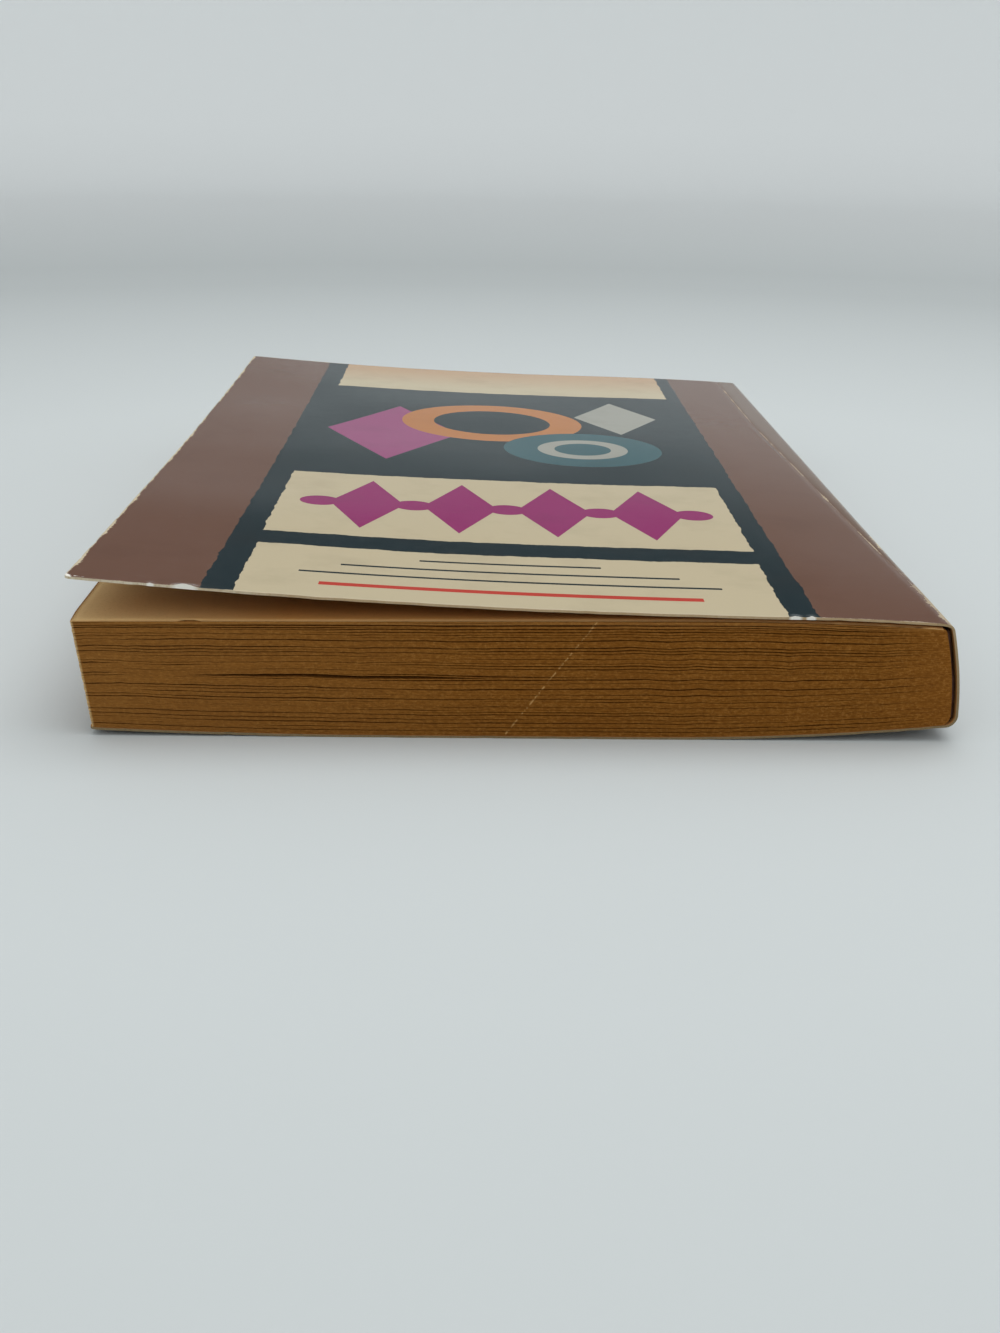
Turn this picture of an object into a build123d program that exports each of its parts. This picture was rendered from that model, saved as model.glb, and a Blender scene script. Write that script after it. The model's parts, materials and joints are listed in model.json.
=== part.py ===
from build123d import *
import math
import os

# A worn mass-market paperback lying on its back cover, in millimetres.
# The head faces -Y, the spine +X, and Z = 0 is the surface that it lies on.

# Leaves
leaf_width = 106.8          # spine edge to fore edge
leaf_height = 175.0         # head to foot
fore_thickness = 13.7       # all the leaves at the fore edge
spine_thickness = 12.4      # all the leaves where the glue grips them
lean = 1.7                  # the top leaf lies this far towards the fore edge of the bottom one

# Cover card and glue
card = 0.3                  # thickness of the cover card
glue = 0.5                  # adhesive on the back of the leaves
seat = 0.1                  # between the card and what it lies on
spine_bulge = 0.45          # the rolled spine curves out this far
spine_round = 1.2           # lower edge of the spine
shoulder_round = 0.8        # upper edge of the spine
hinge_strip = 4.2           # card glued to the outer leaves, from the spine to the crease
hinge_slit = 0.05           # between the glued strip and the turning cover
corner_wear = 0.5           # rubbed corners of the cover at the fore edge

# Set of the used book
head_lift = 5.25            # curl of the front cover at the fore edge, at the head
mid_lift = 4.05             # the same halfway down
foot_lift = 4.65            # the same at the foot
crown_rise = 0.7            # the top leaf climbs this much from the fore edge to the crown
crown_run = 31.0            # crown to the upper edge of the spine
flat_width = 32.0           # stretch of the back cover that touches the surface
spine_run = 38.0            # flat stretch to the lower edge of the spine
fore_lift = 0.8             # rise of the back cover at the fore edge
spine_lift = 2.0            # rise of the back cover at the spine

# Partings between the leaves, open along the three trimmed edges
parting_count = 11
parting_gap = 0.22          # widest opening, at the fore edge
parting_depth = 0.9         # how far each reaches in from a trimmed edge
parting_grip = 14.0         # leaves held shut next to the spine
parting_drift = 0.32        # unevenness of the spacing, as a share of one space
parting_turn = 2.4          # step of that unevenness, in radians
cut_over = 1.0              # cuts run this far past the faces they open

# Points along a curve
cover_steps = 8
parting_steps = 6

# Corners of the section of leaves and glue, seen from the head
half_width = (leaf_width + glue + lean + seat + card) / 2
belly_z = seat + card
fore_top_x = -half_width
fore_bottom_x = fore_top_x + lean
spine_bottom_x = half_width - seat - card
spine_top_x = spine_bottom_x - lean
flat_spine_x = spine_bottom_x - spine_run
flat_fore_x = flat_spine_x - flat_width
crown_x = spine_top_x - crown_run
fore_bottom_z = belly_z + fore_lift
fore_top_z = fore_bottom_z + fore_thickness
crown_z = fore_top_z + crown_rise
spine_bottom_z = belly_z + spine_lift
spine_top_z = spine_bottom_z + spine_thickness
mid_z = (fore_bottom_z + fore_top_z) / 2
above_z = crown_z + max(head_lift, foot_lift)
top_slope = crown_rise / (crown_x - fore_top_x)
crown_drop = crown_z + top_slope * crown_run - spine_top_z

# Circle on which the rolled spine curves
spine_chord = math.hypot(lean, spine_thickness)
spine_radius = (spine_chord**2 / 4 + spine_bulge**2) / (2 * spine_bulge)
spine_reach = (spine_radius - spine_bulge) / spine_chord
spine_mid_z = (spine_bottom_z + spine_top_z) / 2
spine_centre_x = (spine_bottom_x + spine_top_x) / 2 - spine_reach * spine_thickness
spine_centre_z = spine_mid_z - spine_reach * lean

# Lines on which the covers turn
front_crease_x = spine_top_x + seat + card - hinge_strip
back_crease_x = spine_bottom_x + seat + card - hinge_strip
front_reach = front_crease_x - hinge_slit - fore_top_x


def top_z(x):
    # Top leaf: a straight climb to the crown, then down to the spine
    past_crown = max(0.0, x - crown_x)
    return fore_top_z + top_slope * (x - fore_top_x) - crown_drop * (past_crown / crown_run) ** 2


def bottom_z(x):
    # Bottom leaf: flat where the book rests, rising to both edges
    past_flat = max(0.0, x - flat_spine_x) / spine_run
    before_flat = max(0.0, flat_fore_x - x) / (flat_fore_x - fore_bottom_x)
    return belly_z + spine_lift * past_flat**2 + fore_lift * before_flat**2


def leaf_z(x, share):
    # A leaf part of the way up, from 0 at the bottom leaf to 1 at the top one
    return bottom_z(x) + share * (top_z(x) - bottom_z(x))


def spine_x(z):
    # The curve of the spine
    return spine_centre_x + math.sqrt(spine_radius**2 - (z - spine_centre_z) ** 2)


def front_cover_points(lift, height):
    # The front cover lies on the leaves at the crease and curls away from them
    points = []
    for step in range(cover_steps + 1):
        share = step / cover_steps
        x = front_crease_x - hinge_slit - share * front_reach
        points.append((x, top_z(x) + height + lift * share**2))
    return points


def parting_share(index):
    # Unevenly spaced places up the stack of leaves
    return (index + 0.5 + parting_drift * math.sin(parting_turn * index)) / parting_count


def parting_points(share, side):
    # One face of a parting, from outside the fore edge to where the leaves are held shut
    fore_x = fore_bottom_x - lean * share - cut_over
    held_x = spine_x(leaf_z(spine_bottom_x, share)) - parting_grip
    points = []
    for step in range(parting_steps + 1):
        along = step / parting_steps
        x = fore_x + along * (held_x - fore_x)
        points.append((x, leaf_z(x, share) + side * parting_gap / 2 * (1 - along)))
    return points


# Section of the leaves with their glue: bellied below, crowned above, leaning, with a rolled spine
with BuildSketch(Plane.XZ) as bound:
    with BuildLine():
        belly = Line((flat_fore_x, belly_z), (flat_spine_x, belly_z))
        TangentArc(belly @ 1, (spine_bottom_x, spine_bottom_z), tangent=belly % 1)
        ThreePointArc(
            (spine_bottom_x, spine_bottom_z),
            (spine_x(spine_mid_z), spine_mid_z),
            (spine_top_x, spine_top_z),
        )
        climb = Line((fore_top_x, fore_top_z), (crown_x, crown_z))
        TangentArc(climb @ 1, (spine_top_x, spine_top_z), tangent=climb % 1)
        Line((fore_top_x, fore_top_z), (fore_bottom_x, fore_bottom_z))
        TangentArc(belly @ 0, (fore_bottom_x, fore_bottom_z), tangent=(-1, 0))
    make_face()
    fillet(bound.vertices().sort_by(Axis.X)[-2], shoulder_round)
    fillet(bound.vertices().sort_by(Axis.X)[-1], spine_round)

# The strip of the section that is glue
with BuildSketch(Plane.XZ) as glue_side:
    with BuildLine():
        bond = ThreePointArc(
            (spine_x(0) - glue, 0),
            (spine_x(mid_z) - glue, mid_z),
            (spine_x(above_z) - glue, above_z),
        )
        Polyline(bond @ 1, (half_width, above_z), (half_width, 0), bond @ 0)
    make_face()

# Gaps between groups of leaves, which close towards the spine
with BuildPart() as partings:
    for index in range(parting_count):
        with BuildSketch(Plane.XZ):
            with BuildLine():
                upper = Spline(*parting_points(parting_share(index), 1))
                lower = Spline(*parting_points(parting_share(index), -1))
                Line(upper @ 0, lower @ 0)
            make_face()
    extrude(amount=leaf_height / 2 + cut_over, both=True)
    with BuildSketch(Plane.XZ):
        with BuildLine():
            Polyline(
                (fore_bottom_x + parting_depth, fore_bottom_z),
                (fore_top_x + parting_depth, fore_top_z),
                (half_width, above_z),
                (half_width, 0),
                close=True,
            )
        make_face()
    extrude(amount=leaf_height / 2 - parting_depth, both=True, mode=Mode.SUBTRACT)

# Leaves
with BuildPart() as pages:
    with BuildSketch(Plane.XZ):
        add(bound.sketch_local)
        add(glue_side.sketch_local, mode=Mode.SUBTRACT)
    extrude(amount=leaf_height / 2, both=True)
    add(partings.part, mode=Mode.SUBTRACT)

# Glue on the back of the leaves
with BuildPart() as spine_glue:
    with BuildSketch(Plane.XZ):
        add(bound.sketch_local)
        add(glue_side.sketch_local, mode=Mode.INTERSECT)
    extrude(amount=leaf_height / 2, both=True)

# Spine panel of the cover, with a strip glued down on each side as far as the creases
with BuildPart() as spine_cover:
    with BuildSketch(Plane.XZ):
        offset(bound.sketch_local, amount=seat + card)
        offset(bound.sketch_local, amount=seat, mode=Mode.SUBTRACT)
        with BuildLine():
            Polyline(
                (front_crease_x, above_z),
                (front_crease_x, mid_z),
                (back_crease_x, mid_z),
                (back_crease_x, 0),
                (half_width + cut_over, 0),
                (half_width + cut_over, above_z),
                close=True,
            )
        make_face(mode=Mode.INTERSECT)
    extrude(amount=leaf_height / 2, both=True)

# Back cover, which follows the bottom leaf
with BuildPart() as back_cover:
    with BuildSketch(Plane.XZ):
        offset(bound.sketch_local, amount=seat + card)
        offset(bound.sketch_local, amount=seat, mode=Mode.SUBTRACT)
        with BuildLine():
            Polyline(
                (fore_bottom_x, 0),
                (fore_bottom_x, fore_bottom_z),
                (back_crease_x - hinge_slit, mid_z),
                (back_crease_x - hinge_slit, 0),
                close=True,
            )
        make_face(mode=Mode.INTERSECT)
    extrude(amount=leaf_height / 2, both=True)
    fillet(back_cover.edges().filter_by(Axis.Z).group_by(Axis.X)[0], corner_wear)

# Front cover, curled up along the fore edge and most at its two corners
with BuildPart() as front_cover:
    for place, lift in ((leaf_height / 2, head_lift), (0, mid_lift), (-leaf_height / 2, foot_lift)):
        with BuildSketch(Plane.XZ.offset(place)):
            with BuildLine():
                inside = Spline(*front_cover_points(lift, seat))
                outside = Spline(*front_cover_points(lift, seat + card))
                Line(inside @ 0, outside @ 0)
                Line(inside @ 1, outside @ 1)
            make_face()
    loft()
    fillet(front_cover.edges().sort_by(SortBy.LENGTH)[:4].sort_by(Axis.X)[:2], corner_wear)

pages.part.label = "pages"
spine_glue.part.label = "spine_glue"
spine_cover.part.label = "spine_cover"
front_cover.part.label = "front_cover"
back_cover.part.label = "back_cover"

os.makedirs("parts", exist_ok=True)
for piece in (pages, spine_glue, spine_cover, front_cover, back_cover):
    export_step(piece.part, f"parts/{piece.part.label}.step")

print("front hinge at", front_crease_x, top_z(front_crease_x) + seat + card)
print("back hinge at", back_crease_x, bottom_z(back_crease_x) - seat - card)
print("flat stretch from", flat_fore_x, "to", flat_spine_x)
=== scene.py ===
import json
import math
import random

import bmesh
import bpy
import numpy as np
from mathutils import Matrix, Vector, noise


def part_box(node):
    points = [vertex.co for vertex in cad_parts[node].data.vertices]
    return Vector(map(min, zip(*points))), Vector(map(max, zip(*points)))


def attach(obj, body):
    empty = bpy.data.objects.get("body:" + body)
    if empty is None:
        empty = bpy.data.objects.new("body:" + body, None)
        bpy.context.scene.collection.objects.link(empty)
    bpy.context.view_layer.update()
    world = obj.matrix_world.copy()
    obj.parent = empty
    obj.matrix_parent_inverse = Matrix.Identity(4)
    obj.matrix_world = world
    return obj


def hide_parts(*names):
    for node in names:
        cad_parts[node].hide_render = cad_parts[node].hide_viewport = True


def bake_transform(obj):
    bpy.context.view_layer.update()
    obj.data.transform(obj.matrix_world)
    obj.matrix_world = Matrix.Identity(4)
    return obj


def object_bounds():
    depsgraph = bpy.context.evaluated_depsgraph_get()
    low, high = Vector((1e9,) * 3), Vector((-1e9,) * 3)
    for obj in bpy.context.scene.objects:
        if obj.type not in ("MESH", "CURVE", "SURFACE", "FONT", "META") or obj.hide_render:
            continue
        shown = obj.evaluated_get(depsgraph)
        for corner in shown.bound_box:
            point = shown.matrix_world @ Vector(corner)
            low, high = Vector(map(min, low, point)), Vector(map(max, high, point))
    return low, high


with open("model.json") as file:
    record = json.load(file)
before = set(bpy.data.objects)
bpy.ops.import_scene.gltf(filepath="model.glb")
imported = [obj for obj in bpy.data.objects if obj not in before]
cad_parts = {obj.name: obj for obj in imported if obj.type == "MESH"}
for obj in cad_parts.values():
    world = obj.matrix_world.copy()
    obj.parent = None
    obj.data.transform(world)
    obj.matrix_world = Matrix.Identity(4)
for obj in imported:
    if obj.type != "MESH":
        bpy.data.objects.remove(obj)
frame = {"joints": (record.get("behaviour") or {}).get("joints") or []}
cadLow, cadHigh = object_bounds()
mm = 0.001

# The set of the used book, in the CAD frame: head at -Y, spine at +X
form = dict(
    card=0.3 * mm,
    seat=0.1 * mm,
    glue=0.5 * mm,
    lean=1.7 * mm,  # top leaf against bottom leaf
    foreThick=13.7 * mm,
    spineThick=12.4 * mm,
    spineBulge=0.45 * mm,
    heelRound=1.2 * mm,  # lower edge of the spine
    shoulderRound=0.8 * mm,  # upper edge of the spine
    crownRise=0.7 * mm,
    crownRun=31.0 * mm,
    flatWidth=32.0 * mm,
    spineRun=38.0 * mm,
    foreLift=0.8 * mm,
    spineLift=2.0 * mm,
    headLift=5.25 * mm,  # curl of the front cover
    midLift=4.05 * mm,
    footLift=4.65 * mm,
)

pagesLow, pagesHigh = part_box("pages")
hinge = {j["name"]: Vector(j["pos_m"]) for j in frame["joints"]}
card = form["card"]
wrap = form["card"] + form["seat"]      # outside of the card above the leaves
halfLength = pagesHigh.y
bellyZ = pagesLow.z
foreTopX = pagesLow.x
foreBottomX = foreTopX + form["lean"]
spineBottomX = -foreTopX - wrap
spineTopX = spineBottomX - form["lean"]
leafWidth = spineBottomX - form["glue"] - foreBottomX
flatSpineX = spineBottomX - form["spineRun"]
flatForeX = flatSpineX - form["flatWidth"]
crownX = spineTopX - form["crownRun"]
foreTopZ = bellyZ + form["foreLift"] + form["foreThick"]
spineBottomZ = bellyZ + form["spineLift"]
spineTopZ = spineBottomZ + form["spineThick"]
topSlope = form["crownRise"] / (crownX - foreTopX)
crownDrop = foreTopZ + topSlope * (spineTopX - foreTopX) - spineTopZ
frontCrease = hinge["front_cover_hinge"].x
backCrease = hinge["back_cover_hinge"].x


def topZ(x):
    past = max(0.0, x - crownX) / form["crownRun"]
    return foreTopZ + topSlope * (x - foreTopX) - crownDrop * past**2


def bottomZ(x):
    past = max(0.0, x - flatSpineX) / form["spineRun"]
    before = max(0.0, flatForeX - x) / (flatForeX - foreBottomX)
    return bellyZ + form["spineLift"] * past**2 + form["foreLift"] * before**2


def ease(t):
    t = min(1.0, max(0.0, t))
    return t * t * (3 - 2 * t)


def swell(*place):
    return noise.noise(place)


# The rolled spine is an arc; a smaller rounding joins it to the top leaf and to the bottom leaf
spineChord = math.hypot(form["lean"], form["spineThick"])
spineRadius = (spineChord**2 / 4 + form["spineBulge"] ** 2) / (2 * form["spineBulge"])
spineReach = (spineRadius - form["spineBulge"]) / spineChord
spineCentre = Vector(((spineBottomX + spineTopX) / 2 - spineReach * form["spineThick"],
                      (spineBottomZ + spineTopZ) / 2 - spineReach * form["lean"]))
shoulderSlope = topSlope - 2 * crownDrop / form["crownRun"]
heelSlope = 2 * form["spineLift"] / form["spineRun"]


def roundingCentre(cornerX, cornerZ, slope, radius, side):
    x = cornerX - radius
    for n in range(8):
        z = cornerZ + slope * (x - cornerX) + side * radius * math.hypot(1, slope)
        x = spineCentre.x + math.sqrt((spineRadius - radius) ** 2 - (z - spineCentre.y) ** 2)
    return Vector((x, z))


shoulder = roundingCentre(spineTopX, spineTopZ, shoulderSlope, form["shoulderRound"], -1)
heel = roundingCentre(spineBottomX, spineBottomZ, heelSlope, form["heelRound"], 1)
shoulderAngle = math.atan2(shoulder.y - spineCentre.y, shoulder.x - spineCentre.x)
heelAngle = math.atan2(heel.y - spineCentre.y, heel.x - spineCentre.x)


def spineEdge(z):
    # where the outer face of the glue stands at a height
    centre, radius = spineCentre, spineRadius
    if z > shoulder.y + form["shoulderRound"] * math.sin(shoulderAngle):
        centre, radius = shoulder, form["shoulderRound"]
    elif z < heel.y + form["heelRound"] * math.sin(heelAngle):
        centre, radius = heel, form["heelRound"]
    return centre.x + math.sqrt(max(0.0, radius**2 - (z - centre.y) ** 2))


# Mesh helpers
def addObject(name, data):
    holder = bpy.data.objects.new(name, data)
    bpy.context.scene.collection.objects.link(holder)
    return holder


def addMesh(name, bm, materials):
    mesh = bpy.data.meshes.new(name)
    bm.to_mesh(mesh)
    bm.free()
    for material in materials:
        mesh.materials.append(material)
    return addObject(name, mesh)


def makePiece(name, bm, materials):
    for v in bm.verts:
        v.co = [min(max(c, low), high) for c, low, high in zip(v.co, cadLow, cadHigh)]
    bm.normal_update()
    return addMesh(name, bm, materials)


def gridPlaces(bm, across, along):
    # each vertex of a fresh unit grid with its column and row
    made = bmesh.ops.create_grid(bm, x_segments=across, y_segments=along, size=0.5)
    for v in made["verts"]:
        yield v, round((v.co.x + 0.5) * across), round((v.co.y + 0.5) * along)


def endWarp(t, amount):
    # closer spacing towards both ends
    return t - amount * math.sin(2 * math.pi * t) / (2 * math.pi)


# Node helpers
def ink(red, green, blue):
    linear = [c / 12.92 if c <= 0.04045 else ((c + 0.055) / 1.055) ** 2.4
              for c in (red / 255, green / 255, blue / 255)]
    return (*linear, 1.0)


def plug(tree, value, socket):
    if isinstance(value, bpy.types.NodeSocket):
        tree.links.new(value, socket)
    else:
        socket.default_value = value


def put(tree, kind, ins=None, **settings):
    node = tree.nodes.new(kind)
    for key, value in settings.items():
        setattr(node, key, value)
    for key, value in (ins or {}).items():
        plug(tree, value, node.inputs[key])
    return node


def calc(tree, operation, *values):
    return put(tree, "ShaderNodeMath", dict(enumerate(values)), operation=operation).outputs[0]


def times(tree, first, second):
    return calc(tree, "MULTIPLY", first, second)


def minus(tree, first, second):
    return calc(tree, "SUBTRACT", first, second)


def off(tree, value, centre):
    return calc(tree, "ABSOLUTE", minus(tree, value, centre))


def apart(tree, dx, dy):
    return calc(tree, "SQRT", calc(tree, "MULTIPLY_ADD", dx, dx, times(tree, dy, dy)))


def between(tree, value, low, high):
    return times(tree, calc(tree, "GREATER_THAN", value, low), calc(tree, "LESS_THAN", value, high))


def spread(tree, value, low, high, toLow=0.0, toHigh=1.0):
    return put(tree, "ShaderNodeMapRange",
               {"Value": value, 1: low, 2: high, 3: toLow, 4: toHigh}, clamp=True).outputs[0]


def cover(tree, mask, under, over):
    # over where the mask is 1, under elsewhere
    return put(tree, "ShaderNodeMix", {0: mask, 6: under, 7: over}, data_type="RGBA").outputs[2]


def grain(tree, place, scale, detail=4.0, rough=0.55, stretch=None):
    if stretch:
        place = put(tree, "ShaderNodeMapping", {"Vector": place, "Scale": stretch}).outputs[0]
    return put(tree, "ShaderNodeTexNoise",
               {"Vector": place, "Scale": scale, "Detail": detail, "Roughness": rough}).outputs[0]


def newMaterial(name, look, onSheet=False):
    # with the place that its grain follows, on the flat sheet or in the frame of the part
    material = bpy.data.materials.new(name)
    material.use_nodes = True
    tree = material.node_tree
    tree.nodes.clear()
    shader = put(tree, "ShaderNodeBsdfPrincipled")
    shader.inputs["Specular IOR Level"].default_value = look["specular"]
    tree.links.new(shader.outputs[0], put(tree, "ShaderNodeOutputMaterial").inputs[0])
    if onSheet:
        place = put(tree, "ShaderNodeAttribute", attribute_name="sheetPlace").outputs["Vector"]
    else:
        place = put(tree, "ShaderNodeTexCoord").outputs["Object"]
    return material, tree, shader, place


def feed(tree, shader, look, colour, height=None, rough=None):
    plug(tree, colour, shader.inputs["Base Color"])
    plug(tree, rough or look["rough"], shader.inputs["Roughness"])
    if height:
        strength, distance = look["bump"]
        bump = put(tree, "ShaderNodeBump", {"Height": height, "Strength": strength, "Distance": distance})
        tree.links.new(bump.outputs[0], shader.inputs["Normal"])


def newGroup(name, inputs, outputs):
    group = bpy.data.node_groups.new(name, "ShaderNodeTree")
    for socket in inputs:
        kind = "NodeSocketVector" if socket == "Place" else "NodeSocketFloat"
        group.interface.new_socket(name=socket, in_out="INPUT", socket_type=kind)
    for socket in outputs:
        group.interface.new_socket(name=socket, in_out="OUTPUT", socket_type="NodeSocketFloat")
    return group, put(group, "NodeGroupInput").outputs, put(group, "NodeGroupOutput").inputs


def groupOut(tree, group, **ins):
    return put(tree, "ShaderNodeGroup", ins, node_tree=group).outputs


# Grain is scale, detail, roughness; a range is low, high, result at low, result at high
wearGrain = dict(
    cloud=(90.0, 5.0, 0.6),
    fleck=(2600.0, 3.0, 0.6),
    patch=(170.0, 3.0, 0.6),
    patchRange=(0.34, 0.72, 0.15, 1.6),
    torn=(1700.0, 4.0, 0.65),
    tornRange=(0.3, 0.7, 0.4, 1.5),
    softEdge=0.06,  # millimetres over which rubbed ink fades
)


def paperGrainGroup():
    # soft clouds and fine flecks of pulp paper
    group, ins, outs = newGroup("paperGrain", ("Place",), ("Cloud", "Fleck"))
    group.links.new(grain(group, ins["Place"], *wearGrain["cloud"]), outs["Cloud"])
    group.links.new(grain(group, ins["Place"], *wearGrain["fleck"]), outs["Fleck"])
    return group


def raggedGroup():
    # how far wear reaches from place to place, about 1 on average
    group, ins, outs = newGroup("ragged", ("Place",), ("Reach",))
    patchy = spread(group, grain(group, ins["Place"], *wearGrain["patch"]), *wearGrain["patchRange"])
    torn = spread(group, grain(group, ins["Place"], *wearGrain["torn"]), *wearGrain["tornRange"])
    group.links.new(times(group, patchy, torn), outs["Reach"])
    return group


def rubbedEdgeGroup():
    # ink lost near an edge or a fold: Gap is the distance to it, Reach how far the loss goes in
    group, ins, outs = newGroup("rubbedEdge", ("Gap", "Reach", "Ragged"), ("Mask",))
    inside = minus(group, times(group, ins["Reach"], ins["Ragged"]), ins["Gap"])
    group.links.new(spread(group, inside, 0.0, wearGrain["softEdge"]), outs["Mask"])
    return group


def printFieldGroup():
    # a rectangle of colour, from Left to Right across the cover and Head to Foot along it
    group, ins, outs = newGroup("printField", ("X", "Y", "Left", "Right", "Head", "Foot"), ("Mask",))
    wide = between(group, ins["X"], ins["Left"], ins["Right"])
    long = between(group, ins["Y"], ins["Head"], ins["Foot"])
    group.links.new(times(group, wide, long), outs["Mask"])
    return group


def printDiscGroup():
    # a disc, or a ring where Hole is above 0
    group, ins, outs = newGroup("printDisc", ("X", "Y", "AtX", "AtY", "Radius", "Hole"), ("Mask",))
    away = apart(group, minus(group, ins["X"], ins["AtX"]), minus(group, ins["Y"], ins["AtY"]))
    group.links.new(between(group, away, ins["Hole"], ins["Radius"]), outs["Mask"])
    return group


def printLozengeGroup():
    # a lozenge of half width Wide and half length Long
    group, ins, outs = newGroup("printLozenge", ("X", "Y", "AtX", "AtY", "Wide", "Long"), ("Mask",))
    wide = calc(group, "DIVIDE", off(group, ins["X"], ins["AtX"]), ins["Wide"])
    long = calc(group, "DIVIDE", off(group, ins["Y"], ins["AtY"]), ins["Long"])
    group.links.new(calc(group, "LESS_THAN", calc(group, "ADD", wide, long), 1.0), outs["Mask"])
    return group


paperGrain = paperGrainGroup()
ragged = raggedGroup()
rubbedEdge = rubbedEdgeGroup()
printField = printFieldGroup()
printDisc = printDiscGroup()
printLozenge = printLozengeGroup()
print("node groups built")

# Leaves of the block
block = dict(
    leaves=96,
    across=84,  # columns along the head and the foot
    along=44,  # columns along the fore edge and the spine
    acrossWarp=0.4,
    alongWarp=0.88,
    seed=23,
    together=(2, 3, 3, 4, 4, 5),  # leaves that stick together between two open gaps
    openGap=0.12 * mm,
    openWide=0.08 * mm,  # a gap this wide is seen to its full depth
    slitWide=0.2 * mm,  # a gap wider than this is a slit
    shutGap=0.012 * mm,
    grip=11.0 * mm,  # next to the spine the leaves are held shut
    grooveDeep=0.75 * mm,
    slitDeep=2.2 * mm,  # slits go in further
    shutDeep=0.035 * mm,
    unevenCut=0.05 * mm,
    roughCut=0.03 * mm,
    waver=0.035 * mm,  # leaves ride up and down a little along the edge
    cornerWear=0.3 * mm,  # softened corners at the fore edge
    cornerRun=6.0 * mm,
    spineGap=0.04 * mm,  # dark slot between the leaves and the glue
    rimDrop=0.13 * mm,  # rounded-off edge of the top leaf
    rimRun=0.6 * mm,
    nick=-39.9 * mm,  # small tear in the head edge of the top leaf
    nickWide=1.2 * mm,
    nickDeep=0.7 * mm,
    slowGap=(0.033, 3.7),  # noise: pace round the edge, pace from leaf to leaf
    quickGap=(0.13, 2.3),
    gapFlutter=(0.55, 5.1),
    headFlutter=(0.4, 1.3),
    sway=(0.12, 0.10),
    kink=(0.45, 0.2),
    cut=(0.6, 1.9),
    grooveShadeMark=2.0,  # marks a groove for painted shade; the leaves' own values are below 1
    weld=0.0005 * mm,
)
# Wide gaps seen at the head: share of the way up, start and end across from the fore edge, width
headGaps = [
    (0.515, 0.12, 0.47, 0.46 * mm),
    (0.60, 0.36, 0.84, 0.16 * mm),
    (0.775, 0.60, 0.92, 0.15 * mm),
    (0.928, 0.12, 0.90, 0.16 * mm),
    (0.950, -0.08, 0.98, 0.24 * mm),
    (0.985, 0.35, 1.20, 0.12 * mm),
    (0.20, 0.35, 0.75, 0.13 * mm),
    (0.40, 0.02, 0.32, 0.10 * mm),
    (0.70, 0.02, 0.40, 0.10 * mm),
]


def blockPoint(across, y, share):
    # across runs from the fore edge to the spine, share from the bottom leaf to the top one
    nearCorner = max(0.0, 1 - (halfLength - abs(y)) / block["cornerRun"])
    foreX = foreBottomX - form["lean"] * share + block["cornerWear"] * nearCorner**2
    spineX = spineBottomX - form["lean"] * share
    spineZ = bottomZ(spineX) + share * (topZ(spineX) - bottomZ(spineX))
    x = foreX + across * (spineEdge(spineZ) - form["glue"] - block["spineGap"] - foreX)
    z = bottomZ(x) + share * (topZ(x) - bottomZ(x))
    if share == 1:
        inside = min(x - foreX, halfLength - abs(y))
        z -= block["rimDrop"] * (1 - ease(inside / block["rimRun"]))
    return Vector((x, y, z))


def acrossPlace(i):
    return endWarp(i / block["across"], block["acrossWarp"])


def alongPlace(j):
    return (2 * endWarp(j / block["along"], block["alongWarp"]) - 1) * halfLength


def blockColumns():
    # once round the block: head from spine to fore edge, fore edge, foot, spine; with the way inwards
    nx, ny = block["across"], block["along"]
    columns = [(acrossPlace(nx - i), -halfLength, (0.0, 1.0)) for i in range(nx)]
    columns += [(0.0, alongPlace(j), (1.0, 1.0 if j == 0 else 0.0)) for j in range(ny)]
    columns += [(acrossPlace(i), halfLength, (1.0 if i == 0 else 0.0, -1.0)) for i in range(nx)]
    columns += [(1.0, alongPlace(ny - j), (0.0, 0.0)) for j in range(ny)]
    return columns


def edgeNoise(kind, c, k, layer, shift=0.0):
    # c runs round the edge and k up the leaves
    around, up = block[kind]
    return swell(c * around + shift, k * up, layer)


def leafGaps(columns):
    # width of the gap above each leaf at each column, as it comes and goes round the block
    rng = random.Random(block["seed"])
    count, nx, ny = block["leaves"], block["across"], block["along"]
    gaps = np.full((count, len(columns)), block["shutGap"])
    opensAt = rng.choice(block["together"])
    for k in range(count):
        width = block["shutGap"] * rng.random()
        if k == opensAt:
            width = block["openGap"] * rng.uniform(0.5, 1.4)
            opensAt += rng.choice(block["together"])
        shift = rng.uniform(0, 50)
        for c in range(len(columns)):
            wave = edgeNoise("slowGap", c, k, 1.5, shift) + 0.5 * edgeNoise("quickGap", c, k, shift)
            flutter = 1 + 0.5 * edgeNoise("gapFlutter", c, k, shift)
            gaps[k, c] += width * flutter * ease(0.65 + 1.6 * wave)
    for share, start, end, width in headGaps:
        k = int(share * count)
        for c, (across, y, inward) in enumerate(columns):
            flutter = 1 + 0.35 * edgeNoise("headFlutter", c, k, 2.0)
            if y == -halfLength and start < across < end:
                t = (across - start) / (end - start)
                gaps[k, c] = max(gaps[k, c], width * flutter * math.sin(math.pi * t) ** 0.7)
            elif nx <= c < 2 * nx + ny:
                fade = ease(0.55 + swell(c * 0.05, share * 40, 9.0))
                gaps[k, c] = max(gaps[k, c], 0.6 * width * flutter * fade)
    for c, (across, y, inward) in enumerate(columns):
        gaps[:, c] *= ease((1 - across) * leafWidth / block["grip"])
    return gaps


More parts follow.
